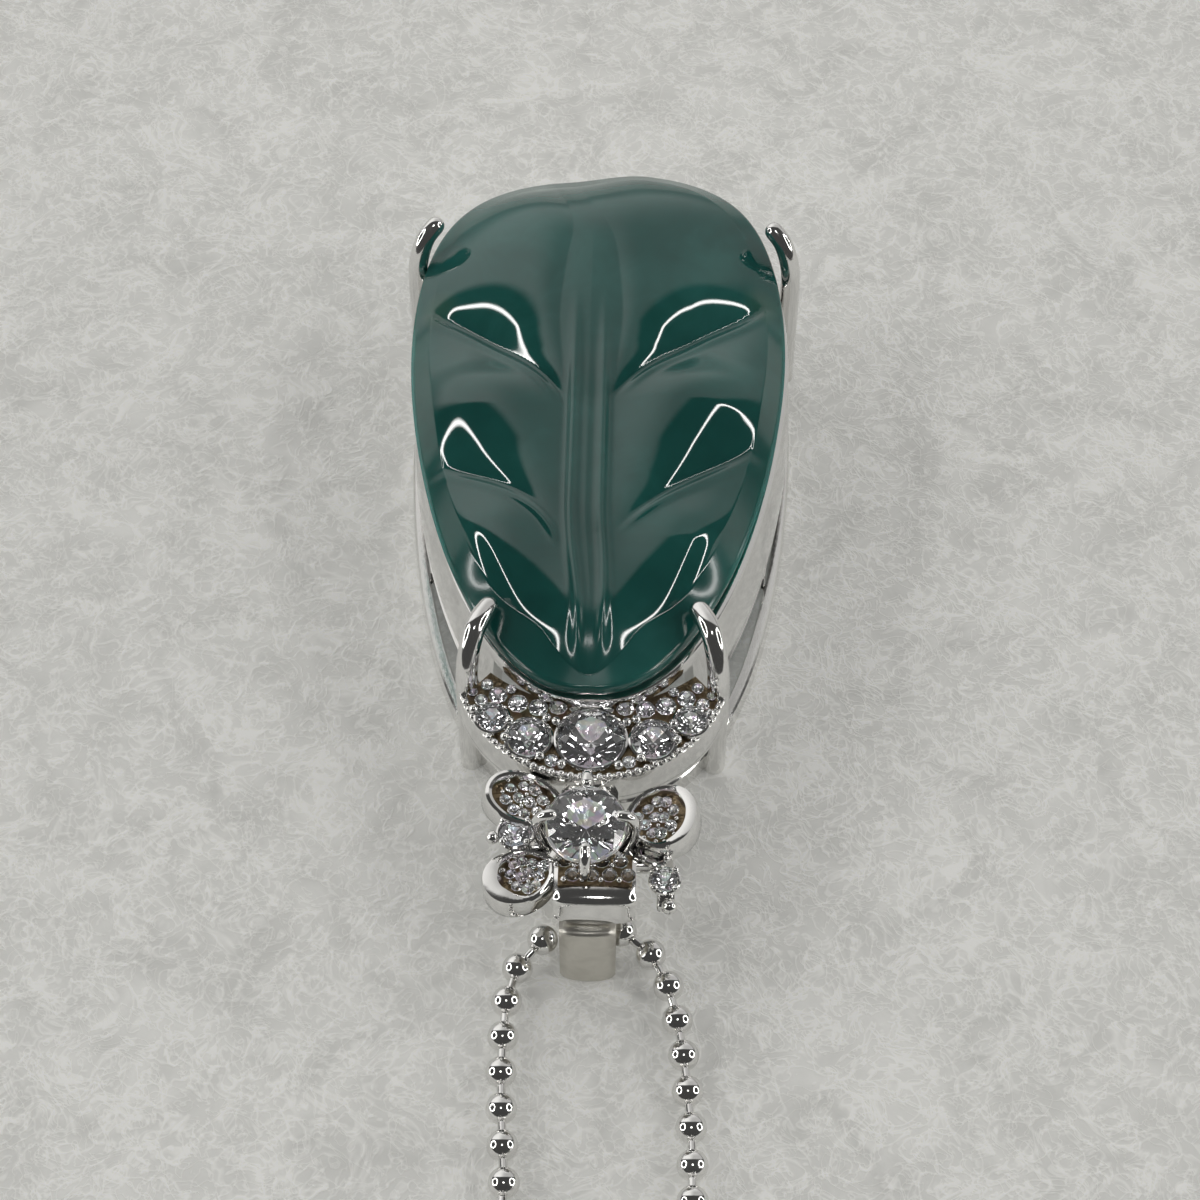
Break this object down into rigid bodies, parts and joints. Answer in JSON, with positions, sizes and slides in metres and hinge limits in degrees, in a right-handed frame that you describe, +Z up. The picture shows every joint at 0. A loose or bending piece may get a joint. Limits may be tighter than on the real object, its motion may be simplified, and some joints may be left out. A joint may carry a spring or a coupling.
{
  "type": "leaf pendant",
  "caption": "Carved dark green jadeite leaf in an open white metal basket with claw prongs, a crescent of clear stones, a flower bail and a ball chain.",
  "frame": {"origin": "on the surface that the pendant rests on, below the middle of its bounding box without the chain", "axes": "+Y towards the wide end of the leaf, the bail towards -Y, +Z up out of the carved face"},
  "size_m": [0.021, 0.0787, 0.0099],
  "materials": {
    "jade": "polished",
    "white_metal": "polished",
    "clear_stone": "cut and polished"
  },
  "bodies": {
    "root": {"jadeite_leaf": "jade", "basket": "white_metal", "flower_bail": "white_metal", "chain_left": "white_metal", "chain_right": "white_metal", "chain_to_clasp": "white_metal", "chain_coil": "white_metal", "clasp": "white_metal", "crescent_stone_middle": "clear_stone", "crescent_stone_inner_right": "clear_stone", "crescent_stone_inner_left": "clear_stone", "crescent_stone_outer_right": "clear_stone", "crescent_stone_outer_left": "clear_stone", "side_stone_left": "clear_stone", "side_stone_right": "clear_stone", "side_stone_lower_right": "clear_stone", "centre_stone": "clear_stone", "band_paving_1": "clear_stone", "band_paving_2": "clear_stone", "band_paving_3": "clear_stone", "paving_upper_left_1": "clear_stone", "paving_upper_left_2": "clear_stone", "paving_upper_right_1": "clear_stone", "paving_upper_right_2": "clear_stone", "paving_lower_left_1": "clear_stone", "paving_lower_left_2": "clear_stone"}
  },
  "joints": []
}
